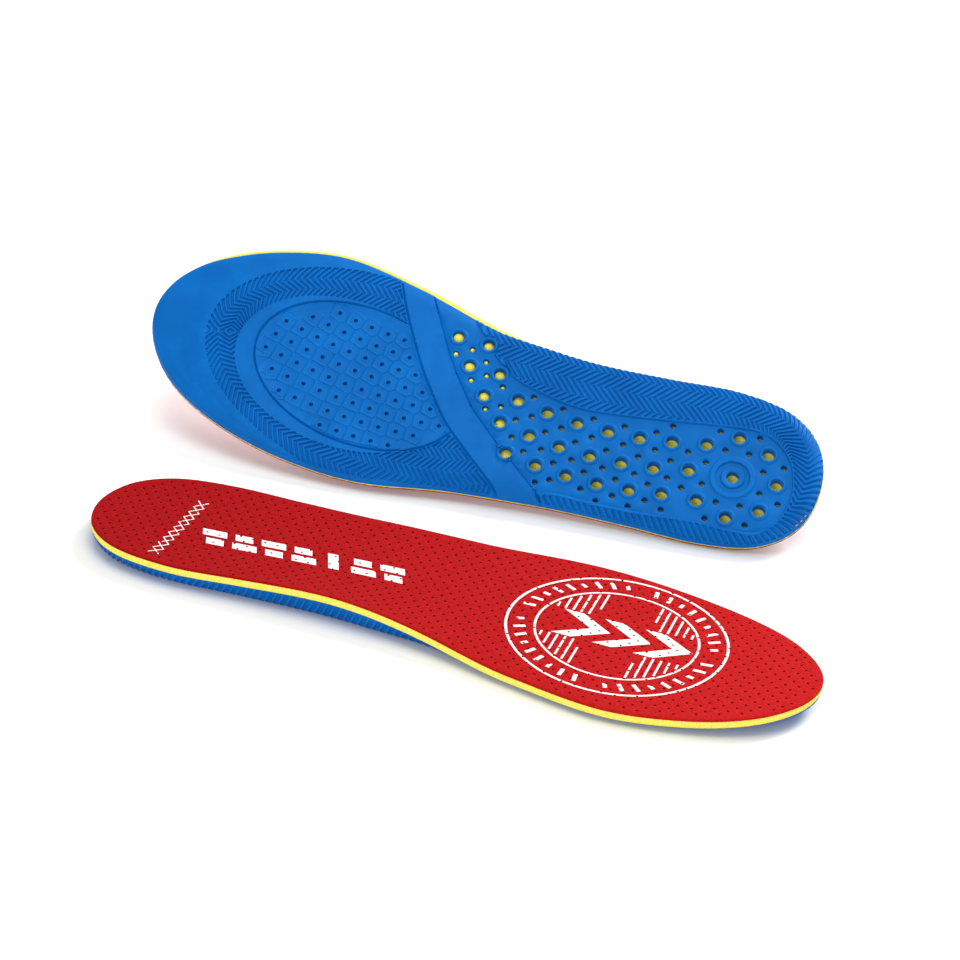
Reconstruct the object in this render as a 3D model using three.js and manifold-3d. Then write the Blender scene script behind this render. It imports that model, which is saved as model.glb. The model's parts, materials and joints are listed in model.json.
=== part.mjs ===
// A pair of cushioned insoles, in millimetres, +Z up.
// Each insole is a laminate: a knit top cover, a foam layer and a moulded base with a low side wall.
// The left insole lies on its base. The right one lies on its outer edge, turned over and tipped forward.
import * as THREE from "three";
import { mergeVertices } from "three/addons/utils/BufferGeometryUtils.js";
import Module from "manifold-3d";

const wasm = await Module();
wasm.setup();

// Outline of the top cover
const LENGTH = 280;
const BALL_WIDTH = 95;

// Layers, from the top down
const COVER_THICKNESS = 1;
const FOAM_THICKNESS = 2.3;
const GLUE_GAP = 0.3;
const BASE_HEEL_THICKNESS = 4.2;
const BASE_TOE_THICKNESS = 2;

// The toes curl up a little
const TOE_SPRING = 5;

// Side wall: how far the rim stands above the middle of the insole, and how far the wall leans in
const RIM_RISE = 1.4;
const ARCH_RISE = 2.6;
const RIM_BAND = 24;
const BASE_WALL_INSET = 1.6;
const BASE_FOOT_INSET = 3.5;
const BASE_FOOT_RADIUS = 1.1;

// Cushioning pockets in the underside
const POCKET_RADIUS = 2.4;
const POCKET_DEPTH = 2.2;
const POCKET_PITCH = 12.7;
const POCKET_ROW_STEP = 10.4;
const POCKET_ROW_SHIFT = 8.7;
const TARGET_RING_RADIUS = 17.4;
const TARGET_RING_POCKETS = 8;

// Flex line across the ball of the foot
const FLEX_GAP = 0.3;

// How the two insoles lie, in millimetres and degrees
const LEFT_YAW = -15.4;
const RIGHT_YAW = -14.6;
const RIGHT_TILT = 38;
const RIGHT_PITCH = 4.7;
const RIGHT_ASIDE = 1.6;
const RIGHT_BEHIND = 111;

// Breadths of the outline at thirteen stations from heel to toe, as shares of the ball width.
// The stations are the cosines of even angles, so they crowd where the outline is round.
const STATION_BREADTHS = [
  [0.021, -0.021],
  [0.205, 0.168],
  [0.326, 0.295],
  [0.363, 0.347],
  [0.342, 0.358],
  [0.326, 0.379],
  [0.353, 0.432],
  [0.437, 0.51],
  [0.49, 0.495],
  [0.437, 0.416],
  [0.337, 0.29],
  [0.195, 0.126],
  [0.037, -0.037],
];

// Places along the insole, as shares of its length from the heel
const FLEX_SHARE = 0.68;
const THIN_FROM_SHARE = 0.36;
const THIN_TO_SHARE = 0.64;
const ARCH_FROM_SHARE = 0.14;
const ARCH_TO_SHARE = 0.62;
const SPRING_FROM_SHARE = 0.75;
const TARGET_SHARE = 0.132;
const FIRST_POCKET_SHARE = 0.563;
const FIRST_POCKET_ASIDE_SHARE = 0.27;
// Where each row of pockets stops towards the heel: the two inner rows are short
const ROW_END_SHARES = [0.5, 0.46, 0, 0, 0];

// Mesh fineness
const RIBS = 36;
const SPANS = 6;
const POCKET_SIDES = 10;

const COLOURS = {
  cover: 0xc8242a,
  foam: 0xf3dc5c,
  base: 0x0a6fd6,
};

const flexX = (FLEX_SHARE - 0.5) * LENGTH;

function alongAt(angle) {
  return (LENGTH / 2) * (1 - Math.cos(angle));
}

// The outline of a left insole: heel at -X, toe at +X, the inner (arch) side at -Y.
function outlineCurve() {
  const last = STATION_BREADTHS.length - 1;
  const points = [];
  for (let k = 0; k <= last; k++) {
    const x = alongAt((k * Math.PI) / last) - LENGTH / 2;
    points.push(new THREE.Vector3(x, -STATION_BREADTHS[k][0] * BALL_WIDTH, 0));
  }
  for (let k = last - 1; k > 0; k--) {
    const x = alongAt((k * Math.PI) / last) - LENGTH / 2;
    points.push(new THREE.Vector3(x, STATION_BREADTHS[k][1] * BALL_WIDTH, 0));
  }
  return new THREE.CatmullRomCurve3(points, true, "catmullrom", 0.5);
}

const outline = outlineCurve();

// A point of the outline moved inwards. turn runs from 0 at the heel, by the inner side, round to 1.
function edgePoint(turn, inset) {
  const wrapped = (turn + 1) % 1;
  const point = outline.getPoint(wrapped);
  const tangent = outline.getTangent(wrapped);
  return point.add(new THREE.Vector3(-tangent.y, tangent.x, 0).multiplyScalar(inset));
}

function thinShare(along) {
  return THREE.MathUtils.smoothstep(along, THIN_FROM_SHARE * LENGTH, THIN_TO_SHARE * LENGTH);
}

// How far the rim rises above the middle at a place: across is 0 at the inner edge and 1 at the outer.
function rimRise(along, across, breadth) {
  const inner = Math.max(0, 1 - (across * breadth) / RIM_BAND) ** 2;
  const outer = Math.max(0, 1 - ((1 - across) * breadth) / RIM_BAND) ** 2;
  const heel = Math.max(0, 1 - along / RIM_BAND) ** 2;
  const arch = THREE.MathUtils.clamp(
    (along / LENGTH - ARCH_FROM_SHARE) / (ARCH_TO_SHARE - ARCH_FROM_SHARE),
    0,
    1,
  );
  const rim = RIM_RISE * (1 - thinShare(along)) * Math.max(inner, outer, heel);
  return rim + ARCH_RISE * Math.sin(Math.PI * arch) ** 2 * inner;
}

// How far the toes' curl lifts the insole off a flat floor.
function toeLift(along) {
  const share = (along / LENGTH - SPRING_FROM_SHARE) / (1 - SPRING_FROM_SHARE);
  return TOE_SPRING * Math.max(0, share) ** 2;
}

// The height of the base's upper face.
function baseTop(along, across, breadth) {
  const middle = THREE.MathUtils.lerp(BASE_HEEL_THICKNESS, BASE_TOE_THICKNESS, thinShare(along));
  return middle + rimRise(along, across, breadth);
}

// One row of points across the insole at a rib, from the inner edge to the outer.
function rowAcross(angle, inset, heightAt) {
  const inner = edgePoint(angle / (2 * Math.PI), inset);
  const outer = edgePoint(1 - angle / (2 * Math.PI), inset);
  const breadth = inner.distanceTo(outer);
  const row = [];
  for (let j = 0; j <= SPANS; j++) {
    const across = j / SPANS;
    const point = inner.clone().lerp(outer, across);
    point.z = heightAt(alongAt(angle), across, breadth) + toeLift(alongAt(angle));
    row.push(point);
  }
  return row;
}

// A closed solid through a list of rings with as many points each.
function loft(rings) {
  const count = rings[0].length;
  const positions = rings.flat().flatMap((p) => [p.x, p.y, p.z]);
  const indices = [];
  for (let i = 0; i + 1 < rings.length; i++) {
    for (let j = 0; j < count; j++) {
      const a = i * count + j;
      const b = i * count + ((j + 1) % count);
      indices.push(a, a + count, b, b, a + count, b + count);
    }
  }
  const geometry = new THREE.BufferGeometry();
  geometry.setAttribute("position", new THREE.Float32BufferAttribute(positions, 3));
  geometry.setIndex(indices);
  return geometry;
}

function solidFrom(geometry) {
  const bare = geometry.clone();
  bare.deleteAttribute("normal");
  bare.deleteAttribute("uv");
  const merged = mergeVertices(bare, 1e-4);
  const triVerts = [];
  for (let i = 0; i < merged.index.count; i += 3) {
    const [a, b, c] = [0, 1, 2].map((k) => merged.index.getX(i + k));
    if (a !== b && b !== c && c !== a) triVerts.push(a, b, c);
  }
  return new wasm.Manifold(
    new wasm.Mesh({
      numProp: 3,
      vertProperties: merged.attributes.position.array,
      triVerts: new Uint32Array(triVerts),
    }),
  );
}

function geometryFrom(solid) {
  const mesh = solid.getMesh();
  const geometry = new THREE.BufferGeometry();
  geometry.setAttribute("position", new THREE.BufferAttribute(mesh.vertProperties, 3));
  geometry.setIndex(new THREE.BufferAttribute(mesh.triVerts, 1));
  geometry.computeVertexNormals();
  return geometry;
}

// A sheet of even thickness that follows the base's upper face at a height above it.
function sheetLayer(above, thickness) {
  const rings = [];
  for (let i = 0; i <= RIBS; i++) {
    const angle = (i * Math.PI) / RIBS;
    const under = rowAcross(angle, 0, (u, v, w) => baseTop(u, v, w) + above);
    const over = rowAcross(angle, 0, (u, v, w) => baseTop(u, v, w) + above + thickness);
    rings.push([...under.reverse(), ...over]);
  }
  return solidFrom(loft(rings));
}

// The base before its pockets are cut: a flat foot, a rounded lower edge and a wall that flares outwards.
function baseBlank() {
  const rings = [];
  for (let i = 0; i <= RIBS; i++) {
    const angle = (i * Math.PI) / RIBS;
    const foot = rowAcross(angle, BASE_FOOT_INSET, () => 0);
    const bend = rowAcross(angle, BASE_WALL_INSET, () => BASE_FOOT_RADIUS);
    const top = rowAcross(angle, 0, baseTop);
    rings.push([...foot.reverse(), bend[0], ...top, bend[SPANS]]);
  }
  return solidFrom(loft(rings));
}

// Centres of the pockets: slanting rows from the arch to the heel, and a ring of them round the heel target.
function pocketCentres() {
  const target = new THREE.Vector2((TARGET_SHARE - 0.5) * LENGTH, 2);
  const centres = [target];
  for (let k = 0; k < TARGET_RING_POCKETS; k++) {
    const angle = (2 * Math.PI * k) / TARGET_RING_POCKETS;
    const spoke = new THREE.Vector2(Math.cos(angle), Math.sin(angle));
    centres.push(spoke.multiplyScalar(TARGET_RING_RADIUS).add(target));
  }
  const clearOfRing = TARGET_RING_RADIUS + POCKET_PITCH / 3;
  ROW_END_SHARES.forEach((rowEnd, row) => {
    const y = POCKET_ROW_STEP * row - FIRST_POCKET_ASIDE_SHARE * BALL_WIDTH;
    const start = FIRST_POCKET_SHARE * LENGTH - POCKET_ROW_SHIFT * row;
    for (let along = start; along > rowEnd * LENGTH; along -= POCKET_PITCH) {
      const centre = new THREE.Vector2(along - LENGTH / 2, y);
      if (centre.distanceTo(target) < clearOfRing || along < TARGET_SHARE * LENGTH) break;
      centres.push(centre);
    }
  });
  return centres;
}

function mouldedBase() {
  let base = baseBlank();
  for (const centre of pocketCentres()) {
    const cutter = new THREE.CylinderGeometry(POCKET_RADIUS, POCKET_RADIUS, 2 * POCKET_DEPTH, POCKET_SIDES);
    cutter.rotateX(Math.PI / 2);
    cutter.translate(centre.x, centre.y, 0);
    base = base.subtract(solidFrom(cutter));
  }
  return base;
}

// The stretch of a layer between two places along the insole.
function stretch(solid, fromX, toX) {
  const box = new THREE.BoxGeometry(toX - fromX, 4 * BALL_WIDTH, 2 * LENGTH);
  box.translate((fromX + toX) / 2, 0, 0);
  return solid.intersect(solidFrom(box));
}

function addMesh(group, name, solid, colour, roughness) {
  const material = new THREE.MeshStandardMaterial({ color: colour, roughness, metalness: 0 });
  const mesh = new THREE.Mesh(geometryFrom(solid), material);
  mesh.name = name;
  group.add(mesh);
}

// One insole as a group of layers, each in a heel and a toe stretch that meet at the flex line.
// side is 1 for the left insole and -1 for the right, which is its mirror image.
function insole(name, side) {
  const group = new THREE.Group();
  const layers = [
    ["base", mouldedBase(), COLOURS.base, 0.45],
    ["foam", sheetLayer(GLUE_GAP, FOAM_THICKNESS), COLOURS.foam, 0.95],
    ["cover", sheetLayer(2 * GLUE_GAP + FOAM_THICKNESS, COVER_THICKNESS), COLOURS.cover, 0.9],
  ];
  for (const [layer, solid, colour, roughness] of layers) {
    const handed = side > 0 ? solid : solid.mirror([0, 1, 0]);
    const heel = stretch(handed, -LENGTH, flexX - FLEX_GAP / 2);
    const toe = stretch(handed, flexX + FLEX_GAP / 2, LENGTH);
    addMesh(group, `${name}_${layer}_heel`, heel, colour, roughness);
    addMesh(group, `${name}_${layer}_toe`, toe, colour, roughness);
  }
  return group;
}

function leftInsole() {
  const group = insole("left", 1);
  group.name = "left_insole";
  group.rotation.z = THREE.MathUtils.degToRad(LEFT_YAW);
  return group;
}

// The right insole is turned over and tipped about its length, then set down on its outer edge.
function rightInsole() {
  const group = insole("right", -1);
  group.name = "right_insole";
  group.rotation.set(
    THREE.MathUtils.degToRad(RIGHT_TILT),
    THREE.MathUtils.degToRad(180 + RIGHT_PITCH),
    THREE.MathUtils.degToRad(RIGHT_YAW),
    "ZXY",
  );
  group.position.set(RIGHT_ASIDE, RIGHT_BEHIND, 0);
  const lowest = new THREE.Box3().setFromObject(group, true).min.z;
  group.position.z = -lowest;
  return group;
}

// The pair, with the origin under the middle of its bounding box.
function pair() {
  const inner = new THREE.Group();
  inner.add(leftInsole(), rightInsole());
  const middle = new THREE.Box3().setFromObject(inner, true).getCenter(new THREE.Vector3());
  inner.position.set(-middle.x, -middle.y, 0);
  const outer = new THREE.Group();
  outer.name = "insole_pair";
  outer.add(inner);
  return outer;
}

export default pair();
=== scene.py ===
"""A pair of cushioned insoles on a pale floor: the left one lies on its base, the right is turned over."""

import json
import math

import bpy
import numpy as np
from mathutils import Matrix, Vector
from mathutils.geometry import delaunay_2d_cdt


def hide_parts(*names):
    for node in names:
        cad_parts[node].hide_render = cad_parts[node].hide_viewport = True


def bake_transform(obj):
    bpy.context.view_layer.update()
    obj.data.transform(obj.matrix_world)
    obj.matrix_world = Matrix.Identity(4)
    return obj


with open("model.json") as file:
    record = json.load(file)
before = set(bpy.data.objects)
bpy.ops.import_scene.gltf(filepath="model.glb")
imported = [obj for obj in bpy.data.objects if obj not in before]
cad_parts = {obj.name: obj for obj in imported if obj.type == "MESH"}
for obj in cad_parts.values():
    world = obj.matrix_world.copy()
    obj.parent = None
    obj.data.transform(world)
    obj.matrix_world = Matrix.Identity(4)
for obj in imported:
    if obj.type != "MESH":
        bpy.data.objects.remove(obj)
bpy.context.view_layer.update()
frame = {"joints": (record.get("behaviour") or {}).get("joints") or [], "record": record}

# ---------------------------------------------------------------------------------------------
# Moulded bases. Each is one shot of soft blue elastomer with a herringbone tread, an oval of cells under the
# ball, a smooth band across the arch and a sunk heel panel with through pockets. The foam is bonded to its
# upper face. Both follow one left-foot pattern in millimetres: heel at -X, toe at +X, arch side at -Y.

LENGTH = 280
BALL_WIDTH = 95
HALF = LENGTH / 2

# Breadths from heel to toe, inner and outer side, as shares of the ball width.
STATION_BREADTHS = np.array(
    [
        [0.021, -0.021],
        [0.205, 0.168],
        [0.326, 0.295],
        [0.363, 0.347],
        [0.342, 0.358],
        [0.326, 0.379],
        [0.353, 0.432],
        [0.437, 0.510],
        [0.490, 0.495],
        [0.437, 0.416],
        [0.337, 0.290],
        [0.195, 0.126],
        [0.037, -0.037],
    ]
)

# Heights of the base's upper face above the floor.
HEEL_BASE = 4.2
TOE_BASE = 2.0
RIM_RISE = 1.4
ARCH_RISE = 2.6
RIM_BAND = 24
TOE_SPRING = 5.0

# Where the base thins, where the arch is and where the toes lift, as shares of the length.
THIN_FROM = 0.36
THIN_TO = 0.64
ARCH_START = 0.14
ARCH_SPAN = 0.48
TOE_LIFT_FROM = 0.75

# The wall, and how far the base stays back from the pattern's edge.
WALL_REACH = 5.5
LIP = 0.5
LAP = 1.8
LAP_WIDTH = 0.6
SETBACK = 0.35
BALL_SETBACK = 1.7
TOE_SETBACK = 1.5
WALL_CURVE = 2.3
STEEPEST = 2.5

# Where the sides of the foot, the ball and the toes fade in or out.
INNER_SIDE = (-15, 5)
OUTER_SIDE = (-4, 16)
BALL_FROM = (-22, 6)
TOE_FROM = (30, 52)
TOE_TO = (112, 138)

# The tread. CREST and VALLEY are half-widths as shares of a pitch, and the marks are the depths from the edge
# at which a ridge gets a point.
TREAD_DEPTH = 0.75
TREAD_PITCH = 2.75
CREST = 0.14
VALLEY = 0.16
REAR_ROW = 6.3
FRONT_ROW = 4.9
BORDER_GAP = 0.9
TOE_GAP = 0.7
TOE_STEPS_FROM = 30
TOE_STEP_GAP = 3.1
TOE_STEP = 0.12
TOE_STEPS = 3
STRIDE = 0.4
REAR_REACH = 30
FRONT_REACH = 34
WALL_MARKS = (0.5, 1.5, 2.8, 4.4)
SHORTEST_RIDGE = 0.8
RIDGE_TIP = 0.02
RIDGE_SHOULDER = 0.3
MARK_ROOM = 0.45
RIM_FADE = 0.9
RIM_SHARE = 0.65

PANEL_DEPTH = 0.85
PANEL_RIM = 0.6
GROOVE_DEPTH = 0.8
GROOVE_HALF = 0.65
HEEL_GROOVE_EXTRA = 0.5
BAND_HALF = 6.15

POCKET = 2.45
SMALL_POCKET = 1.3
PIN = 0.92
PIN_DEPTH = 1.5
POCKET_SIDES = 20
SMALL_SIDES = 12
PIN_SIDES = 8
TARGET_SIDES = 40
POCKET_LIP = 4.2
SMALL_LIP = 1.7
TARGET_LIP = 9.6

# Rings round a pocket and round the target, as (radius, height above the panel).
POCKET_RINGS = [(POCKET, 0.15), (2.85, 0.6), (3.4, 0.6), (4.05, 0.0)]
SMALL_RINGS = [(SMALL_POCKET, -0.2), (SMALL_POCKET + 0.35, 0.0)]
TARGET_RINGS = [
    (POCKET, 0.4),
    (2.8, 0.65),
    (4.4, 0.65),
    (4.9, -0.1),
    (6.5, -0.1),
    (7.0, 0.65),
    (8.7, 0.65),
    (9.4, 0.0),
]


def smooth_step(low, high, x):
    t = np.clip((np.asarray(x, float) - low) / (high - low), 0, 1)
    return t * t * (3 - 2 * t)


def curve_through(points, steps, closed=False):
    """A smooth line through the points, with that many steps in each span."""
    p = np.array(points, float)
    count = len(p)
    out = []
    for k in range(count if closed else count - 1):
        if closed:
            a, b, c, d = (p[(k + i) % count] for i in (-1, 0, 1, 2))
        else:
            a, b, c, d = (p[min(max(k + i, 0), count - 1)] for i in (-1, 0, 1, 2))
        for f in np.arange(steps) / steps:
            bend = (2 * a - 5 * b + 4 * c - d) * f * f + (3 * b - 3 * c + d - a) * f**3
            out.append(0.5 * (2 * b + (c - a) * f + bend))
    if not closed:
        out.append(p[-1])
    return np.array(out)


class Guide:
    """A drawn line that others keep a distance from: s runs along it, and t is the distance to its left."""

    def __init__(self, points, closed=False):
        self.points = np.array(points, float)
        self.closed = closed
        ahead = np.roll(self.points, -1, 0) if closed else self.points[1:]
        self.start = self.points if closed else self.points[:-1]
        self.step = ahead - self.start
        self.step_length = np.linalg.norm(self.step, axis=1)
        self.s = np.concatenate([[0], np.cumsum(self.step_length)])
        self.length = self.s[-1]
        unit = self.step / self.step_length[:, None]
        left = np.stack([-unit[:, 1], unit[:, 0]], 1)
        if closed:
            normal = left + np.roll(left, 1, 0)
            normal = np.concatenate([normal, normal[:1]])
        else:
            normal = np.concatenate([left[:1], left[1:] + left[:-1], left[-1:]])
        self.normal = normal / np.linalg.norm(normal, axis=1)[:, None]

    def at(self, s, t):
        """The points at distances s along and t to the left."""
        s, t = np.broadcast_arrays(np.asarray(s, float), np.asarray(t, float))
        wrapped = np.mod(s, self.length) if self.closed else np.clip(s, 0, self.length)
        ring = np.concatenate([self.points, self.points[:1]]) if self.closed else self.points
        place = np.stack([np.interp(wrapped, self.s, ring[:, i]) for i in (0, 1)], -1)
        out = np.stack([np.interp(wrapped, self.s, self.normal[:, i]) for i in (0, 1)], -1)
        out /= np.linalg.norm(out, axis=-1)[..., None]
        return place + out * t[..., None]

    def locate(self, points):
        """(s, t) of each point, by the nearest place on the line."""
        points = np.asarray(points, float).reshape(-1, 2)
        s, t = np.empty(len(points)), np.empty(len(points))
        for i in range(0, len(points), 4000):
            from_start = points[i : i + 4000, None, :] - self.start
            share = (from_start * self.step).sum(2) / self.step_length**2
            share = np.clip(share, 0, 1)
            gap = from_start - share[..., None] * self.step
            distance = np.hypot(gap[..., 0], gap[..., 1])
            k = distance.argmin(1)
            row = np.arange(len(k))
            turn = self.step[k, 0] * from_start[row, k, 1] - self.step[k, 1] * from_start[row, k, 0]
            s[i : i + 4000] = self.s[k] + share[row, k] * self.step_length[k]
            t[i : i + 4000] = np.sign(turn) * distance[row, k]
        return s, t


def pattern_outline():
    last = len(STATION_BREADTHS) - 1
    x = HALF * (1 - np.cos(np.pi * np.arange(last + 1) / last)) - HALF
    inner = np.stack([x, -STATION_BREADTHS[:, 0] * BALL_WIDTH], 1)
    outer = np.stack([x, STATION_BREADTHS[:, 1] * BALL_WIDTH], 1)
    return curve_through(np.concatenate([inner, outer[-2:0:-1]]), 12, closed=True)


edge = Guide(pattern_outline(), closed=True)
side_count = len(edge.points) // 2
inner_side = edge.points[: side_count + 1]
outer_side = np.concatenate([edge.points[:1], edge.points[: side_count - 1 : -1]])


def toe_lift(x):
    """The toes curl up a little from three quarters of the length."""
    past = x + HALF - TOE_LIFT_FROM * LENGTH
    return TOE_SPRING * np.maximum(0, past / ((1 - TOE_LIFT_FROM) * LENGTH)) ** 2


def base_top(points):
    """The height of the base's upper face, which dishes between its rims."""
    x, y = points[:, 0], points[:, 1]
    along = x + HALF
    low = np.interp(x, inner_side[:, 0], inner_side[:, 1])
    high = np.interp(x, outer_side[:, 0], outer_side[:, 1])
    thin = smooth_step(THIN_FROM * LENGTH, THIN_TO * LENGTH, along)
    inner = np.maximum(0, 1 - np.maximum(0, y - low) / RIM_BAND) ** 2
    outer = np.maximum(0, 1 - np.maximum(0, high - y) / RIM_BAND) ** 2
    heel = np.maximum(0, 1 - along / RIM_BAND) ** 2
    arch = np.clip((along / LENGTH - ARCH_START) / ARCH_SPAN, 0, 1)
    rise = RIM_RISE * (1 - thin) * np.maximum(np.maximum(inner, outer), heel)
    rise += ARCH_RISE * np.sin(np.pi * arch) ** 2 * inner
    return HEEL_BASE + (TOE_BASE - HEEL_BASE) * thin + rise + toe_lift(x)


def base_lap(points):
    """How far the wall laps up over the foam's cut edge, which it does on the outer side only."""
    return LAP * smooth_step(*OUTER_SIDE, points[:, 1])


def base_setback(points):
    """The base stays back a little, and most beside the ball and the toes on the inner side."""
    x, y = points[:, 0], points[:, 1]
    inner = 1 - smooth_step(*INNER_SIDE, y)
    ball = smooth_step(*BALL_FROM, x) * (1 - smooth_step(*TOE_FROM, x))
    toe = smooth_step(*TOE_FROM, x) * (1 - smooth_step(*TOE_TO, x))
    outer = smooth_step(*OUTER_SIDE, y)
    return SETBACK * (1 - outer) + inner * (BALL_SETBACK * ball + TOE_SETBACK * toe)


base_edge = Guide(edge.at(edge.s[:-1], base_setback(edge.points)), closed=True)

# The band's middle line, from the arch side to the outer side.
BAND_LINE = [
    (42, -50),
    (39.6, -41.9),
    (33.9, -30.4),
    (27.4, -19.5),
    (20.8, -9),
    (14, 0),
    (5.8, 9.8),
    (-4.2, 18.5),
    (-13.8, 26),
    (-25, 34.5),
    (-40, 46),
]
band = Guide(curve_through(BAND_LINE, 6))

# The edge of the sunk panel, from the band round the heel and back under the band.
PANEL_EDGE = [
    (31, -38),
    (22, -39),
    (14.5, -36.5),
    (9.9, -31.2),
    (0.4, -20.5),
    (-11.8, -11.8),
    (-25.5, -8.4),
    (-37.1, -6.8),
    (-50, -7.6),
    (-71, -11.0),
    (-91.6, -14.9),
    (-108.2, -17.4),
    (-118, -15),
    (-125.5, -8),
    (-129, 1),
    (-129.5, 9),
    (-127, 18),
    (-121, 24.8),
    (-112, 27),
    (-96.2, 27.6),
    (-76.9, 30),
    (-59.5, 31.3),
    (-42, 32),
    (-29, 33.5),
    (-16, 27),
    (-4.2, 18.5),
    (5.8, 9.8),
    (14, 0),
    (20.8, -9),
    (27.4, -19.5),
    (32, -29),
]
panel = Guide(curve_through(PANEL_EDGE[::-1], 6, closed=True), closed=True)


def from_edge(points):
    """How far inside the base's edge a point is."""
    return base_edge.locate(points)[1]


def ahead_of_band(points):
    """How far a point is past the band's edge on the toe side."""
    return -band.locate(points)[1] - BAND_HALF


def behind_band(points):
    """How far a point is past the band's edge on the heel side."""
    return band.locate(points)[1] - BAND_HALF


def ellipse(centre, radii, tilt, count):
    angle = 2 * np.pi * np.arange(count) / count
    x, y = radii[0] * np.cos(angle), radii[1] * np.sin(angle)
    c, s = math.cos(math.radians(tilt)), math.sin(math.radians(tilt))
    return np.stack([centre[0] + c * x - s * y, centre[1] + s * x + c * y], 1)


# The forefoot's ovals: round the cells, then the tread's inner and outer borders.
oval = Guide(ellipse((49, 5), (45.3, 29.6), -10, 150), closed=True)
collar = Guide(ellipse((54.5, 5.8), (47.5, 32.2), -8, 150), closed=True)
crescent = Guide(ellipse((35.5, 5.35), (80.5, 45.3), -8, 240), closed=True)
crescent_toe = crescent.locate(np.array([[115.0, 2.5]]))[0][0]

# Pockets: rows that follow the arch's bow, then a ring of eight round the heel's target.
# Each row gives its foremost pocket and how many follow towards the heel.
POCKET_PITCH = 12.7
POCKET_ROWS = [
    ((16.1, -23.2), 2),
    ((7.9, -12.0), 2),
    ((-15.2, -3.1), 6),
    ((-11.2, 8.3), 7),
    ((-17.3, 20.4), 6),
]
LEAD_POCKET = (-1.6, -1.1)
ROW_BOW = 0.003
BOW_MIDDLE = -47.0
ROW_SHIFTS = (4.0, 11.5, 11.0)
TARGET = np.array([-105.5, 4.8])
TARGET_RING = 17.4
RING_START = 6.0
RING_COUNT = 8
RING_TURN = 360 / RING_COUNT
RING_ROOM = 8

# Small pockets: two at each gap of the ring, and one between every three neighbours in the rows.
# The rooms are the least distances from the target, the large pockets, each other, the panel's edge and
# the band.
SMALL_REACHES = (12.3, 20.6)
NEIGHBOUR_GAP = 16.5
TARGET_ROOM = 11.5
LARGE_ROOM = 4.9
SMALL_ROOM = 4.4
PANEL_ROOM = 1.6
BAND_ROOM = 2.4
BAND_LEAST = 1.4


def pocket_row(row, before, after):
    """A row's pocket centres, with extra places before and after the real ones."""
    (x0, y0), count = POCKET_ROWS[row]
    x = x0 - POCKET_PITCH * np.arange(-before, count + after)
    if row < 2:
        return np.stack([x, np.full(len(x), y0)], 1)
    bow = ROW_BOW * ((x - BOW_MIDDLE) ** 2 - (x0 - BOW_MIDDLE) ** 2)
    return np.stack([x, y0 - bow], 1)


def polar(centre, radius, degrees):
    turn = math.radians(degrees)
    return np.asarray(centre) + radius * np.array([math.cos(turn), math.sin(turn)])


def pocket_plan():
    """Centres of the large pockets, and of the small ones in the gaps between them."""
    ring = [polar(TARGET, TARGET_RING, RING_START - RING_TURN * k) for k in range(RING_COUNT)]
    large = [np.array(LEAD_POCKET)]
    large += [p for row in range(len(POCKET_ROWS)) for p in pocket_row(row, 0, 0)]
    large = [p for p in large if min(np.linalg.norm(p - r) for r in ring) > RING_ROOM] + ring
    shift, inner_shift, outer_shift = ROW_SHIFTS
    lattice = [p for row in range(len(POCKET_ROWS)) for p in pocket_row(row, 1, 0)]
    lattice += [p - (shift, inner_shift) for p in pocket_row(2, 0, 1)]
    lattice += [p + (shift, outer_shift) for p in pocket_row(4, 1, 1)]
    lattice += [np.array(LEAD_POCKET) + (x, 0) for x in (0, POCKET_PITCH)]
    corners, _, faces, *_ = delaunay_2d_cdt([Vector(p) for p in lattice], [], [], 0, 1e-5)
    small = []
    for k in range(RING_COUNT):
        for reach in SMALL_REACHES:
            small.append(polar(TARGET, reach, RING_START - RING_TURN * (k + 0.5)))
    for face in faces:
        trio = [np.array(corners[i]) for i in face]
        if max(np.linalg.norm(trio[i] - trio[i - 1]) for i in range(3)) < NEIGHBOUR_GAP:
            small.append(sum(trio) / 3)
    small = np.array(small)
    s, t = band.locate(small)
    beside = t < BAND_HALF + BAND_ROOM
    small[beside] = band.at(s[beside], BAND_HALF + BAND_ROOM)
    inside = panel.locate(small)[1] > PANEL_ROOM
    clear = t > BAND_HALF + BAND_LEAST
    kept = []
    for p in small[inside & clear]:
        off_target = np.linalg.norm(p - TARGET)
        off_large = min(np.linalg.norm(p - q) for q in large)
        off_small = min([np.linalg.norm(p - q) for q in kept], default=math.inf)
        if off_target > TARGET_ROOM and off_large > LARGE_ROOM and off_small > SMALL_ROOM:
            kept.append(p)
    return np.array(large), np.array(kept)


large_pockets, small_pockets = pocket_plan()


# Cells under the ball: bowed rows of six-sided pads, each with a pin hole. A row steps towards the inner
# side, and its start drifts back; the line of cells drifts, fans out and bows about the oval's middle.
FIRST_CELL = (34.2, 24.6)
CELL_PITCH = 7.2
CELL_ROW = 6.69
ROW_DRIFT = 1.13
ROW_CURL = 0.152
CELLS_MIDDLE = 41
CELLS_DRIFT = 0.0275
CELLS_FAN = 0.0128
CELLS_BOW = 0.00213
CELL_MARGIN = 1.0
CELL_ROOM = 3.0
LONE_PIN_ROOM = 2.1

# A pad's outlines as (share drawn in, sink), then its dish and its pin hole as (radius, sides, sink).
PAD_STEPS = [(0.035, 0.3), (0.12, 0.0), (0.3, 0.1)]
PAD_DISH = (1.85, PIN_SIDES, 0.16)
PIN_RINGS = [(1.35, PIN_SIDES, 0.0), (PIN, PIN_SIDES, 0.08), (0.9 * PIN, PIN_SIDES, PIN_DEPTH)]


def cell_centre(i, j):
    u = FIRST_CELL[0] + CELL_PITCH * i - ROW_DRIFT * j - ROW_CURL * j * j
    off = u - CELLS_MIDDLE
    sag = CELLS_DRIFT * off + CELLS_FAN * off * j + CELLS_BOW * off * off
    return np.array([u, FIRST_CELL[1] - CELL_ROW * j - sag])


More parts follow.
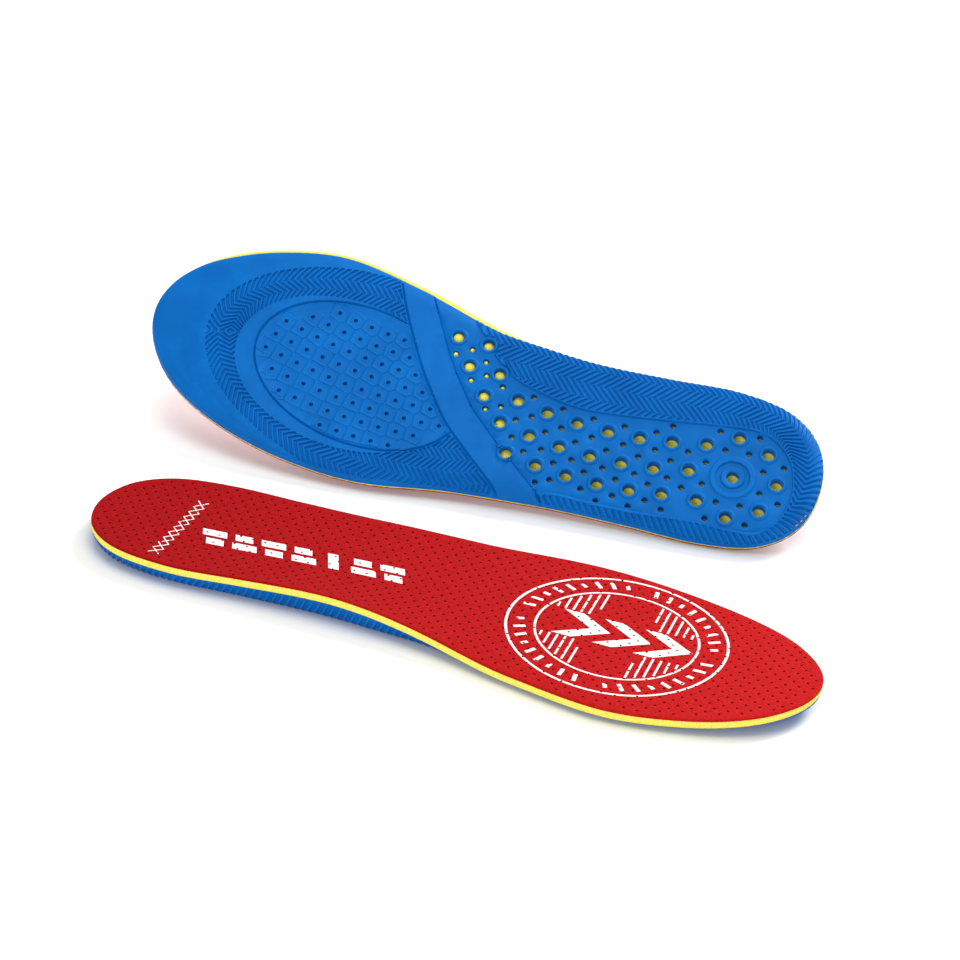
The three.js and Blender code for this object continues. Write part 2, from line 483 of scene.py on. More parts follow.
def circumcentre(p, q, r):
    a, b = q - p, r - p
    cross = 2 * (a[0] * b[1] - a[1] * b[0])
    aa, bb = a @ a, b @ b
    return p + np.array([(b[1] * aa - a[1] * bb) / cross, (a[0] * bb - b[0] * aa) / cross])


def cell_outline(i, j):
    """The six corners midway between a cell and its neighbours, kept inside the oval and off the band."""
    steps = [(1, 0), (1, 1), (0, 1), (-1, 0), (-1, -1), (0, -1)]
    here = cell_centre(i, j)
    ring = [cell_centre(i + a, j + b) for a, b in steps]
    corners = np.array([circumcentre(here, ring[k], ring[(k + 1) % 6]) for k in range(6)])
    s, t = oval.locate(corners)
    corners = oval.at(s, np.maximum(t, CELL_MARGIN))
    s, t = band.locate(corners)
    return band.at(s, np.minimum(t, -BAND_HALF - CELL_MARGIN))


def cell_plan():
    """Whole cells as (centre, outline), and the lone pin holes along the oval's border."""
    whole, lone = [], []
    for i in range(-8, 14):
        for j in range(-3, 10):
            centre = cell_centre(i, j)
            room = min(oval.locate(centre[None])[1][0], ahead_of_band(centre[None])[0])
            if room > CELL_ROOM:
                whole.append((centre, cell_outline(i, j)))
            elif room > LONE_PIN_ROOM:
                lone.append(centre)
    return whole, lone


whole_cells, lone_pins = cell_plan()


class Drawing:
    """Points and lines that a sheet's face is meshed with, and how far the known ones are sunk."""

    def __init__(self):
        self.points = []
        self.sinks = []
        self.lines = []

    def dots(self, points, sink=math.nan):
        self.points.extend(map(tuple, points))
        self.sinks.extend(np.broadcast_to(sink, len(points)))

    def line(self, points, sink=math.nan, closed=False):
        first = len(self.points)
        self.dots(points, sink)
        count = len(self.points) - first
        last = count if closed else count - 1
        self.lines.extend((first + i, first + (i + 1) % count) for i in range(last))

    def ring(self, centre, radius, sides, sink=math.nan):
        angle = 2 * np.pi * np.arange(sides) / sides
        spokes = np.stack([np.cos(angle), np.sin(angle)], 1)
        self.line(np.asarray(centre) + radius * spokes, sink, closed=True)

    def mesh(self, border, holes):
        """Points, known sinks, triangles inside the border and outside the (x, y, radius, sides) holes,
        and where each drawn point went."""
        corners, _, faces, sources, *_ = delaunay_2d_cdt(
            [Vector(p) for p in self.points], self.lines, [], 0, 1e-5
        )
        corners = np.array([(v[0], v[1]) for v in corners])
        faces = np.array(faces)
        sinks = np.array([self.sinks[s[0]] if s else math.nan for s in sources], float)
        where = {drawn: i for i, s in enumerate(sources) for drawn in s}
        middle = corners[faces].mean(1)
        keep = border.locate(middle)[1] > 0
        for x, y, radius, sides in holes:
            near = np.abs(middle[:, 0] - x) < radius
            reach = 0.997 * radius * math.cos(math.pi / sides)
            near[near] = np.hypot(middle[near, 0] - x, middle[near, 1] - y) < reach
            keep &= ~near
        return corners, sinks, faces[keep], where


def boundary_edges(faces):
    """The edges that belong to one triangle only, in that triangle's direction."""
    pairs = np.concatenate([faces[:, [0, 1]], faces[:, [1, 2]], faces[:, [2, 0]]])
    _, index, count = np.unique(np.sort(pairs, 1), axis=0, return_index=True, return_counts=True)
    return pairs[index[count == 1]]


def close_sheet(flat, laid, faces, border, holes, dots, plain_height):
    """Closes a worked underside (flat points, laid points, triangles) with walls and a plain face over it."""
    rim = boundary_edges(faces)
    used = np.unique(rim)
    plain = Drawing()
    plain.dots(flat[used])
    place = {corner: i for i, corner in enumerate(used)}
    plain.lines = [(place[a], place[b]) for a, b in rim]
    plain.dots(dots)
    plain_flat, _, plain_faces, where = plain.mesh(border, holes)
    count = len(flat)
    over = {corner: count + where[place[corner]] for corner in used}
    sheet = [tuple(f[::-1]) for f in faces]
    sheet += [tuple(f + count) for f in plain_faces]
    sheet += [(a, b, over[b], over[a]) for a, b in rim]
    points = np.concatenate([laid, np.column_stack([plain_flat, plain_height(plain_flat)])])
    return points, sheet


def zigzag(t, row):
    """A tread line's shift at depth t: it leans one way in a row and the other way in the next."""
    return row * (1 - np.abs(np.mod(t / row, 2) - 1))


def profile(phase):
    """Tread depth over one pitch: 0 on the crest and 1 in the valley."""
    off = np.abs(np.mod(phase + 0.5, 1) - 0.5)
    return np.clip((off - CREST) / (0.5 - VALLEY - CREST), 0, 1)


def off_pockets(points):
    """The distance to the nearest pocket's lip, or to the target's outer ring."""
    gap = np.hypot(*(points - TARGET).T) - TARGET_LIP
    for centre in large_pockets:
        gap = np.minimum(gap, np.hypot(*(points - centre).T) - POCKET_LIP)
    for centre in small_pockets:
        gap = np.minimum(gap, np.hypot(*(points - centre).T) - SMALL_LIP)
    return gap


def rear_tread(points):
    """How far inside the heel and arch tread a point is."""
    inside = np.minimum(from_edge(points) + 1e-6, -panel.locate(points)[1] - PANEL_RIM)
    inside = np.minimum(inside, behind_band(points) - BORDER_GAP)
    return np.minimum(inside, off_pockets(points))


def from_toe(s):
    """Distance round the crescent from the toe's parting line, to either side."""
    return np.mod(s - crescent_toe + crescent.length / 2, crescent.length) - crescent.length / 2


def front_tread(points):
    """How far inside the ball's tread a point is."""
    s, t = crescent.locate(points)
    inside = np.minimum(np.minimum(t, np.abs(from_toe(s)) - TOE_GAP), -collar.locate(points)[1])
    inside = np.minimum(inside, from_edge(points) + 1e-6)
    inside = np.minimum(inside, -oval.locate(points)[1] - BORDER_GAP)
    return np.minimum(inside, ahead_of_band(points) - BORDER_GAP)


def tread(drawing, guide, starts, lean, row, reach, inside):
    """Draws a tread's lines: starts are (s, depth), and lean carries s to a depth t."""
    fine = np.arange(0, reach, STRIDE)
    s0 = np.array([s for s, _ in starts])[:, None]
    points = guide.at(lean(s0, fine[None, :]), np.broadcast_to(fine, (len(starts), len(fine))))
    live = inside(points.reshape(-1, 2)).reshape(len(starts), len(fine))
    corners = np.concatenate([np.arange(row, reach, row), WALL_MARKS])
    for (s, depth), mask in zip(starts, live):
        k = 0
        while k < len(fine):
            if mask[k] <= 0:
                k += 1
                continue
            last = k
            while last + 1 < len(fine) and mask[last + 1] > 0:
                last += 1
            low, high = fine[k], fine[last]
            if k > 0:
                low -= STRIDE * mask[k] / (mask[k] - mask[k - 1])
            if last + 1 < len(fine):
                high += STRIDE * mask[last] / (mask[last] - mask[last + 1])
            if high - low > SHORTEST_RIDGE:
                near = (low + RIDGE_TIP, low + RIDGE_SHOULDER)
                far = (high - RIDGE_SHOULDER, high - RIDGE_TIP)
                turns = [c for c in corners if low + MARK_ROOM < c < high - MARK_ROOM]
                marks = np.array(sorted([*near, *turns, *far]))
                drawing.line(guide.at(lean(s, marks), marks), depth)
            k = last + 1


def tread_starts(length, count):
    """(s, depth) of the four lines of each ridge: both crest edges, then both valley edges."""
    pitch = length / count
    starts = []
    for k in range(count):
        for phase, depth in ((-CREST, 0), (CREST, 0), (0.5 - VALLEY, 1), (0.5 + VALLEY, 1)):
            starts.append(((k + phase) * pitch, depth * TREAD_DEPTH))
    return starts


# How many points each border is drawn with, and how deep the wall's rings lie.
BAND_POINTS = 110
OVAL_POINTS = 200
COLLAR_POINTS = 260
CRESCENT_POINTS = 400
PANEL_POINTS = 320
WALL_POINTS = 420
TOE_STEP_POINTS = 240
BORDER_STEP = 0.25
WALL_RINGS = (0.5, 1.4, 2.6, 4.0, WALL_REACH)

# The least room between a border and the base's edge, the band or a pocket.
EDGE_ROOM = 0.6
OVAL_BAND_ROOM = 0.1
FRONT_BAND_ROOM = 0.8
FRONT_EDGE_ROOM = 0.3
PANEL_BAND_ROOM = 0.9
PANEL_POCKET_ROOM = 0.3
TOE_STEP_ROOM = 1.5
WALL_RING_ROOM = 0.4
PANEL_FOOT = 0.4
PANEL_SHOULDER = 0.3

# Spacing of the plain points that fill the faces.
UNDER_GRID = 4.0
FACE_GRID = 5.0
PLAIN_GRID = 6.0

rear_count = round(base_edge.length / TREAD_PITCH)
front_count = round(crescent.length / 2 / TREAD_PITCH)


def draw_border(drawing, guide, offset, count, keep, sink=math.nan):
    """Draws the stretches of an offset line that keep holds for."""
    points = guide.at(np.linspace(0, guide.length, count, endpoint=not guide.closed), offset)
    good = keep(points)
    if guide.closed and good.all():
        drawing.line(points, sink, closed=True)
        return
    first = int(np.argmin(good)) if guide.closed else 0
    points, good = np.roll(points, -first, 0), np.roll(good, -first)
    for run in np.split(np.arange(count), np.flatnonzero(np.diff(good)) + 1):
        if good[run[0]] and len(run) > 1:
            drawing.line(points[run], sink)


def off_treads(points):
    return -np.maximum(rear_tread(points), front_tread(points))


def band_shows(points):
    return from_edge(points) > EDGE_ROOM


def oval_shows(points):
    return ahead_of_band(points) > OVAL_BAND_ROOM


def front_border_shows(points):
    return (ahead_of_band(points) > FRONT_BAND_ROOM) & (from_edge(points) > FRONT_EDGE_ROOM)


def panel_shows(points, room):
    on_heel = (behind_band(points) > PANEL_BAND_ROOM) & (from_edge(points) > EDGE_ROOM)
    return on_heel & (off_pockets(points) > room)


def toe_step_shows(points):
    return (from_edge(points) > TOE_STEP_ROOM) & (points[:, 0] > TOE_STEPS_FROM)


def draw_borders(drawing):
    """The grooves by the band and round the oval, the panel's edge, the wall and the toe's faint steps."""
    for offset in (-GROOVE_HALF, 0, GROOVE_HALF):
        depth = GROOVE_DEPTH if offset == 0 else math.nan
        for side, extra in ((-BAND_HALF, 0), (BAND_HALF, HEEL_GROOVE_EXTRA)):
            draw_border(drawing, band, side + offset, BAND_POINTS, band_shows, depth + extra)
        draw_border(drawing, oval, offset, OVAL_POINTS, oval_shows, depth)
    draw_border(drawing, collar, BORDER_STEP, COLLAR_POINTS, front_border_shows)
    draw_border(drawing, crescent, -BORDER_STEP, CRESCENT_POINTS, front_border_shows)
    draw_border(drawing, panel, PANEL_FOOT, PANEL_POINTS, lambda p: panel_shows(p, PANEL_POCKET_ROOM))
    for offset in (0, PANEL_SHOULDER - PANEL_RIM):
        draw_border(drawing, panel, offset, PANEL_POINTS, lambda p: panel_shows(p, 0), 0.0)
    steps = np.linspace(0, base_edge.length, WALL_POINTS, endpoint=False)
    for depth in WALL_RINGS:
        ring = base_edge.at(steps, depth)
        drawing.dots(ring[off_treads(ring) > WALL_RING_ROOM])
    for k in range(TOE_STEPS):
        for side in (-BORDER_STEP, BORDER_STEP):
            offset = -TOE_STEP_GAP * (k + 1) + side
            draw_border(drawing, crescent, offset, TOE_STEP_POINTS, toe_step_shows)


def draw_pockets(drawing):
    """The lips of the pockets and the target's rings, all measured up from the panel's floor."""
    for centre in large_pockets:
        for radius, raised in POCKET_RINGS:
            drawing.ring(centre, radius, POCKET_SIDES, PANEL_DEPTH - raised)
    for centre in small_pockets:
        for radius, raised in SMALL_RINGS:
            drawing.ring(centre, radius, SMALL_SIDES, PANEL_DEPTH - raised)
    for radius, raised in TARGET_RINGS:
        sides = POCKET_SIDES if radius < 3 else TARGET_SIDES
        drawing.ring(TARGET, radius, sides, PANEL_DEPTH - raised)


def draw_cells(drawing):
    """Each pad's sunk outline, its crowned face, and the pin holes with their raised lips."""
    for centre, outline in whole_cells:
        for inset, sink in PAD_STEPS:
            drawing.line(centre + (outline - centre) * (1 - inset), sink, closed=True)
        drawing.ring(centre, *PAD_DISH)
    for centre in [centre for centre, _ in whole_cells] + lone_pins:
        for ring in PIN_RINGS:
            drawing.ring(centre, *ring)


def grid_dots(pitch, inset):
    x = np.arange(-HALF, HALF, pitch)
    y = np.arange(-BALL_WIDTH / 2 - 4, BALL_WIDTH / 2 + 6, pitch)
    grid = np.stack(np.meshgrid(x, y), -1).reshape(-1, 2)
    grid[:, 0] += (np.round(grid[:, 1] / pitch) % 2) * pitch / 2
    return grid[edge.locate(grid)[1] > inset]


def underside_sink(points):
    """How far a point that no line has given a depth is sunk."""
    s, t = base_edge.locate(points)
    sink = np.zeros(len(points))
    phase = (s + zigzag(t, REAR_ROW)) / base_edge.length * rear_count
    sink = np.where(rear_tread(points) > 0, TREAD_DEPTH * profile(phase), sink)
    around, inward = crescent.locate(points)
    phase = (np.abs(from_toe(around)) + zigzag(inward, FRONT_ROW)) / crescent.length * 2 * front_count
    sink = np.where(front_tread(points) > 0, TREAD_DEPTH * profile(phase), sink)
    in_panel = np.minimum(panel.locate(points)[1], behind_band(points) - 0.2)
    sink = np.maximum(sink, PANEL_DEPTH * smooth_step(-0.1, 0.35, in_panel))
    toe = smooth_step(TOE_STEPS_FROM, TOE_STEPS_FROM + 25, points[:, 0]) * smooth_step(1.5, 6, t)
    for k in range(TOE_STEPS):
        beyond = -inward - TOE_STEP_GAP * (k + 1)
        sink += toe * TOE_STEP * smooth_step(-0.2, 0.2, beyond)
    return sink


def smooth_underside(points):
    """The underside without its treads: flat on the floor, then up the wall to the rim."""
    lift = toe_lift(points[:, 0])
    rim = base_top(points) - LIP + base_lap(points)
    return lift + (rim - lift) * np.maximum(0, 1 - from_edge(points) / WALL_REACH) ** WALL_CURVE


def lay_underside(points, sinks):
    """The moulded underside: each point moves in from the smooth surface by its sink."""
    sinks = np.where(np.isnan(sinks), underside_sink(points), sinks)
    sinks *= RIM_SHARE + (1 - RIM_SHARE) * smooth_step(0, RIM_FADE, from_edge(points))
    height = smooth_underside(points)
    step = 0.02
    slope_x = (smooth_underside(points + (step, 0)) - smooth_underside(points - (step, 0))) / step / 2
    slope_y = (smooth_underside(points + (0, step)) - smooth_underside(points - (0, step))) / step / 2
    slope_x, slope_y = np.clip(slope_x, -STEEPEST, STEEPEST), np.clip(slope_y, -STEEPEST, STEEPEST)
    move = sinks / np.sqrt(1 + slope_x**2 + slope_y**2)
    moved = points - np.stack([slope_x, slope_y], 1) * move[:, None]
    return np.column_stack([moved, height + move])


def base_upper_face(points):
    """The bonded face, and round the outer side the lap's rim."""
    lapped = 1 - smooth_step(0.5 * LAP_WIDTH, LAP_WIDTH, from_edge(points))
    return base_top(points) + base_lap(points) * lapped


def draw_rear_tread(drawing):
    """The base's edge, and the heel and arch ridges that start on it."""
    starts = tread_starts(base_edge.length, rear_count)
    drawing.line(base_edge.at(np.array([s for s, _ in starts]), 0), closed=True)

    def lean(s, t):
        return s - zigzag(t, REAR_ROW)

    tread(drawing, base_edge, starts, lean, REAR_ROW, REAR_REACH, rear_tread)


def draw_front_tread(drawing, way):
    """The ball's ridges on one side (way 1 or -1) of the toe's parting line."""
    starts = tread_starts(crescent.length / 2, front_count)

    def lean(s, t):
        return crescent_toe + way * (s - zigzag(t, FRONT_ROW))

    def inside(points):
        return np.minimum(front_tread(points), way * from_toe(crescent.locate(points)[0]))

    tread(drawing, crescent, starts, lean, FRONT_ROW, FRONT_REACH, inside)


def moulded_base():
    holes = [(*c, POCKET, POCKET_SIDES) for c in large_pockets]
    holes += [(*c, SMALL_POCKET, SMALL_SIDES) for c in small_pockets]
    holes.append((*TARGET, POCKET, POCKET_SIDES))
    under = Drawing()
    draw_rear_tread(under)
    draw_front_tread(under, 1)
    draw_front_tread(under, -1)
    draw_borders(under)
    draw_pockets(under)
    draw_cells(under)
    dots = grid_dots(UNDER_GRID, WALL_REACH + 1)
    near_cells = (oval.locate(dots)[1] > 0.3) & (ahead_of_band(dots) > 0)
    under.dots(dots[(off_treads(dots) > 0.5) & (off_pockets(dots) > 0.6) & ~near_cells])
    flat, sinks, faces, _ = under.mesh(base_edge, holes)
    laid = lay_underside(flat, sinks)
    steps = np.linspace(0, base_edge.length, 500, endpoint=False)
    lap = [base_edge.at(steps, share * LAP_WIDTH) for share in (0.5, 1.0)]
    dots = np.concatenate([*lap, grid_dots(PLAIN_GRID, 4)])
    return close_sheet(flat, laid, faces, base_edge, holes, dots, base_upper_face)


# Where each insole lies: its axes come from the frame's own mounts and flex joints.
# The mount lies MOUNT_AHEAD metres ahead of the pattern's middle.
mounts = {m["name"]: m for m in frame["record"]["mounts"]}
joints = {j["name"]: j for j in frame["joints"]}
MM = 0.001
MOUNT_AHEAD = 0.030


def insole_place(side):
    """The matrix that takes a pattern in metres to where that insole lies."""
    mount = mounts[f"{side}_underside"]
    up = -Vector(mount["axis"])
    across = Vector(joints[f"{side}_toe_flex"]["axis"])
    if side == "left":
        across = -across
    ahead = across.cross(up).normalized()
    across = up.cross(ahead)
    middle = Vector(mount["pos_m"]) - MOUNT_AHEAD * ahead
    turn = Matrix((ahead, across, up)).transposed().to_4x4()
    return Matrix.Translation(middle) @ turn


def make_layer(name, side, points, faces, materials, face_materials=None, sharp=38):
    """A layer as an object: the pattern in millimetres, mirrored for the right foot and laid in place."""
    place = np.array(insole_place(side))
    flat = np.array(points, float)
    if side == "right":
        flat[:, 1] *= -1
        faces = [f[::-1] for f in faces]
    laid = (flat * MM) @ place[:3, :3].T + place[:3, 3]
    mesh = bpy.data.meshes.new(name)
    mesh.from_pydata(laid.tolist(), [], [list(map(int, f)) for f in faces])
    for material in materials:
        mesh.materials.append(material)
    if face_materials is not None:
        mesh.polygons.foreach_set("material_index", np.asarray(face_materials, np.int32))
    pattern = mesh.attributes.new("pattern_mm", "FLOAT_VECTOR", "POINT")
    pattern.data.foreach_set("vector", np.array(points, np.float32).ravel())
    mesh.shade_smooth()
    mesh.set_sharp_from_angle(angle=math.radians(sharp))
    piece = bpy.data.objects.new(name, mesh)
    bpy.context.scene.collection.objects.link(piece)
    return piece


def fit_to_frame(piece, side, layer):
    """The layer stands for its two frame nodes, which are hidden."""
    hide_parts(f"{side}_{layer}_heel", f"{side}_{layer}_toe")
    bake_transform(piece)


def node(tree, kind, **values):
    made = tree.nodes.new(kind)
    for key, value in values.items():
        if key.startswith("in_"):
            made.inputs[key[3:].replace("_", " ")].default_value = value
        else:
            setattr(made, key, value)
    return made


def new_material(name, colour, roughness, specular):
    material = bpy.data.materials.new(name)
    material.use_nodes = True
    tree = material.node_tree
    shader = tree.nodes["Principled BSDF"]
    shader.inputs["Base Color"].default_value = (*colour, 1)
    shader.inputs["Roughness"].default_value = roughness
    shader.inputs["Specular IOR Level"].default_value = specular
    material.diffuse_color = (*colour, 1)
    return material, tree, shader


def pattern_coordinates(tree):
    """The flat pattern's own millimetres, which stay with the piece when it bends."""
    return node(tree, "ShaderNodeAttribute", attribute_name="pattern_mm").outputs["Vector"]


def mottle(tree, place, scale, detail, low, high, colours):
    """A noise that runs between two colours."""
    noise = node(tree, "ShaderNodeTexNoise", in_Scale=scale, in_Detail=detail)
    tree.links.new(place, noise.inputs["Vector"])
    ramp = node(tree, "ShaderNodeValToRGB")
    ramp.color_ramp.elements[0].position = low
    ramp.color_ramp.elements[1].position = high
    ramp.color_ramp.elements[0].color = (*colours[0], 1)
    ramp.color_ramp.elements[1].color = (*colours[1], 1)
    tree.links.new(noise.outputs["Fac"], ramp.inputs["Fac"])
    return ramp.outputs["Color"], noise.outputs["Fac"]


def bump(tree, shader, height, strength, distance, after=None):
    made = node(tree, "ShaderNodeBump", in_Strength=strength, in_Distance=distance)
    tree.links.new(height, made.inputs["Height"])
    if after is not None:
        tree.links.new(after, made.inputs["Normal"])
    tree.links.new(made.outputs["Normal"], shader.inputs["Normal"])
    return made.outputs["Normal"]


def blue_elastomer():
    """A satin blue, a little uneven, with painted highlight on the crests, which are mixed towards a paler
    blue than the valleys.
    """
    material, tree, shader = new_material("blue_elastomer", (0.0, 0.13, 0.45), 0.45, 0.08)
    place = pattern_coordinates(tree)
    colour, _ = mottle(tree, place, 0.05, 3, 0.35, 0.65, ((0.0, 0.115, 0.42), (0.0, 0.14, 0.49)))
    # Painted highlight: where the surface is pointy, on the tread's crests, the colour is mixed towards a
    # paler blue.
    crest_highlight = node(tree, "ShaderNodeNewGeometry").outputs["Pointiness"]
    crest = node(tree, "ShaderNodeMapRange", in_From_Min=0.5, in_From_Max=0.62, in_To_Max=0.35)
    tree.links.new(crest_highlight, crest.inputs["Value"])
    mix = node(tree, "ShaderNodeMix", data_type="RGBA")
    tree.links.new(crest.outputs["Result"], mix.inputs["Factor"])
    tree.links.new(colour, mix.inputs["A"])
    mix.inputs["B"].default_value = (0.004, 0.21, 0.66, 1)
    tree.links.new(mix.outputs["Result"], shader.inputs["Base Color"])
    _, skin = mottle(tree, place, 2.2, 4, 0.4, 0.6, ((0, 0, 0), (1, 1, 1)))
    rough = node(tree, "ShaderNodeMapRange", in_To_Min=0.38, in_To_Max=0.62)
    tree.links.new(skin, rough.inputs["Value"])
    tree.links.new(rough.outputs["Result"], shader.inputs["Roughness"])
    bump(tree, shader, skin, 0.1, 0.0002)
    return material


base_points, base_faces = moulded_base()
elastomer = blue_elastomer()
for side in ("left", "right"):
    base = make_layer(f"{side}_moulded_base", side, base_points, base_faces, [elastomer])
    fit_to_frame(base, side, "base")

# ---------------------------------------------------------------------------------------------
# Foam layers. Open-cell yellow foam, die-cut to the pattern and bonded between base and cover.
# Its cut edge shows all round, pitted and a little narrower at the bottom. It domes into the front pockets.

FOAM = 2.9
FOAM_ROWS = 9
FOAM_SIDES = 700
FOAM_FOOT = 0.5
FOAM_FLARE = 0.35
FOAM_BULGE = 0.3
FOAM_ROUGHNESS = 0.05
RIM_LINE = 0.65
LAP_ROOM = 0.25
LAP_OVER = (0.1, 0.5)
BOND = 0.02

# The foam is pressed back from the heel pockets and bulges into the front ones.
HEEL_DOME = -1.2
FRONT_DOME = 1.7
DOME_FADE = (-40, 0)
DOME_SIDES = 12
DOME_ROOM = 0.06
SMALL_DOME_ROOM = 0.05


def foam_inset(points, share):
    """How far the cut edge stays inside the pattern, from its bottom (0) to its top (1)."""
    free = FOAM_FOOT - FOAM_FLARE * share - FOAM_BULGE * (4 * share * (1 - share)) ** 0.6
    lap = base_lap(points)
    lapped = (1 - smooth_step(lap + LAP_OVER[0], lap + LAP_OVER[1], share * FOAM)) * smooth_step(0, 0.1, lap)
    return free + (LAP_WIDTH + base_setback(points) + LAP_ROOM - free) * lapped


def foam_layer():
    """Two matching faces, and the cut edge between them as rows of quads."""
    steps = np.linspace(0, edge.length, FOAM_SIDES, endpoint=False)
    border = Guide(edge.at(steps, RIM_LINE), closed=True)
    face = Drawing()
    face.line(border.points, 0.0, closed=True)
    domed = [(centre, POCKET - DOME_ROOM) for centre in [*large_pockets, TARGET]]
    domed += [(centre, SMALL_POCKET - SMALL_DOME_ROOM) for centre in small_pockets]
    for centre, radius in domed:
        dome = HEEL_DOME + (FRONT_DOME - HEEL_DOME) * smooth_step(*DOME_FADE, centre[0])
        face.ring(centre, radius, DOME_SIDES, 0.0)
        face.ring(centre, 0.8 * radius, DOME_SIDES, 0.55 * dome)
        face.ring(centre, 0.4 * radius, DOME_SIDES // 2, 0.95 * dome)
    face.dots(grid_dots(FACE_GRID, 2), 0.0)
    points, domes, faces, where = face.mesh(border, [])
    rim = [where[i] for i in range(FOAM_SIDES)]
    low, top = points.copy(), points.copy()
    ring = edge.at(steps, 0)
    low[rim] = edge.at(steps, foam_inset(ring, 0))
    top[rim] = edge.at(steps, foam_inset(ring, 1))
    low = np.column_stack([low, base_top(low) + BOND - np.nan_to_num(domes)])
    top = np.column_stack([top, base_top(top) + FOAM - BOND])
    rng = np.random.default_rng(4)
    rows = []
    for k in range(1, FOAM_ROWS):
        share = k / FOAM_ROWS
        spot = edge.at(steps, foam_inset(ring, share) + rng.normal(0, FOAM_ROUGHNESS, FOAM_SIDES))
        rows.append(np.column_stack([spot, base_top(ring) + BOND + (FOAM - 2 * BOND) * share]))
    count = len(points)
    sheet = [tuple(f[::-1]) for f in faces] + [tuple(f + count) for f in faces]
    rings = [list(rim)]
    rings += [[2 * count + k * FOAM_SIDES + i for i in range(FOAM_SIDES)] for k in range(FOAM_ROWS - 1)]
    rings.append([count + i for i in rim])
    for lower, upper in zip(rings[:-1], rings[1:]):
        for i in range(FOAM_SIDES):
            j = (i + 1) % FOAM_SIDES
            sheet.append((lower[i], lower[j], upper[j], upper[i]))
    return np.concatenate([low, top, *rows]), sheet


def yellow_foam():
    """A soft yellow, mottled and pitted by its open cells."""
    material, tree, shader = new_material("yellow_foam", (0.9, 0.78, 0.09), 0.95, 0.1)
    place = pattern_coordinates(tree)
    colour, _ = mottle(tree, place, 1.6, 4, 0.3, 0.7, ((0.84, 0.74, 0.07), (0.97, 0.90, 0.20)))
    tree.links.new(colour, shader.inputs["Base Color"])
    cells = node(tree, "ShaderNodeTexVoronoi", in_Scale=2.4)
    tree.links.new(place, cells.inputs["Vector"])
    bump(tree, shader, cells.outputs["Distance"], 0.5, 0.0003)
    shader.inputs["Subsurface Weight"].default_value = 0.15
    shader.inputs["Subsurface Radius"].default_value = (0.001, 0.0008, 0.0002)
    return material


foam_points, foam_faces = foam_layer()
foam_material = yellow_foam()
for side in ("left", "right"):
    foam = make_layer(f"{side}_foam_layer", side, foam_points, foam_faces, [foam_material])
    fit_to_frame(foam, side, "foam")

# ---------------------------------------------------------------------------------------------
# Top covers. Red knit, pierced with staggered air holes and heat-printed in white before it is bonded.
# The prints are plain shapes: a round badge, a strip of slanted bars and a lozenge chain.

COVER = 1.0

# The cover's edge rolls down: (distance from the pattern's edge, sink).
COVER_ROLL = [(0, 0.42), (0.2, 0.2), (0.45, 0.07), (0.8, 0.0)]

PUNCH = 0.5
PUNCH_BOTTOM = 0.4
PUNCH_DIMPLE = 0.85
PUNCH_DEPTH = 0.7
DIMPLE_DEPTH = 0.12
PUNCH_PITCH = 4.9
PUNCH_ROW = 3.04
PUNCH_ROOM = 2.2

# The badge: two rings, slanted dashes between them, ruled hatching and chevrons inside.
BADGE = np.array([63.0, 3.0])
BADGE_RADIUS = 41.0
BADGE_WIDTH = 1.0
INNER_RADIUS = 30.4
INNER_WIDTH = 0.9
DASH_RADIUS = 35.5
DASH_WIDTH = 1.5
DASH_TURN = 9
DASH_LEAN = 14
LONG_DASH = 4.6
SHORT_DASH = 2.8
HATCH_RADIUS = 28.6
HATCH_FROM = 10.5
HATCH_PITCH = 3.0
HATCH_WIDTH = 0.8
HATCH_LOW = 9.8
FIRST_HATCH_LOW = 15
SHORTEST_HATCH = 2
CHEVRON_FROM = -22.5
CHEVRON_PITCH = 15.5
CHEVRON = np.array([(0, -9), (7.5, -9), (20, 0), (7.5, 9), (0, 9), (12.5, 0)])

# The strip: seven places along the arch, with a pair of bars in each but one.
STRIP_START = np.array([-97.0, -6.4])
STRIP_END = np.array([-17.5, 2.1])
STRIP_PLACES = 7
SINGLE_PLACE = 4
SINGLE_BAR = (4.0, 10.6)
LONG_BAR = 9.4
SHORT_BAR = 6.8
BAR_WIDTH = 4.3
BAR_SLANT = -0.28
BAR_OFFSET = 3.05
BAR_STAGGER = 0.9

# The lozenge chain at the heel.
CHAIN_LINKS = 10
CHAIN_START = (-106, -26)
CHAIN_PITCH = 4.5
CHAIN_DRIFT = 0.04
LINK_LENGTH = 6.4
LINK_WIDTH = 0.45
LINK_LEAN = 42


def punch_centres():
    centres = []
    for j in range(-20, 22):
        for i in range(-32, 33):
            centres.append((PUNCH_PITCH * (i + 0.5 * (j % 2)), PUNCH_ROW * j))
    centres = np.array(centres)
    return centres[edge.locate(centres)[1] > PUNCH_ROOM]


punches = punch_centres()


def slab(centre, length, width, turn, slant=0.0):
    """A bar's four corners: turn is its direction in degrees, and slant leans its ends."""
    c, s = math.cos(math.radians(turn)), math.sin(math.radians(turn))
    lean = slant * width / 2
    corners = [
        (-length / 2 - lean, -width / 2),
        (length / 2 - lean, -width / 2),
        (length / 2 + lean, width / 2),
        (-length / 2 + lean, width / 2),
    ]
    return np.array([(centre[0] + c * x - s * y, centre[1] + s * x + c * y) for x, y in corners])


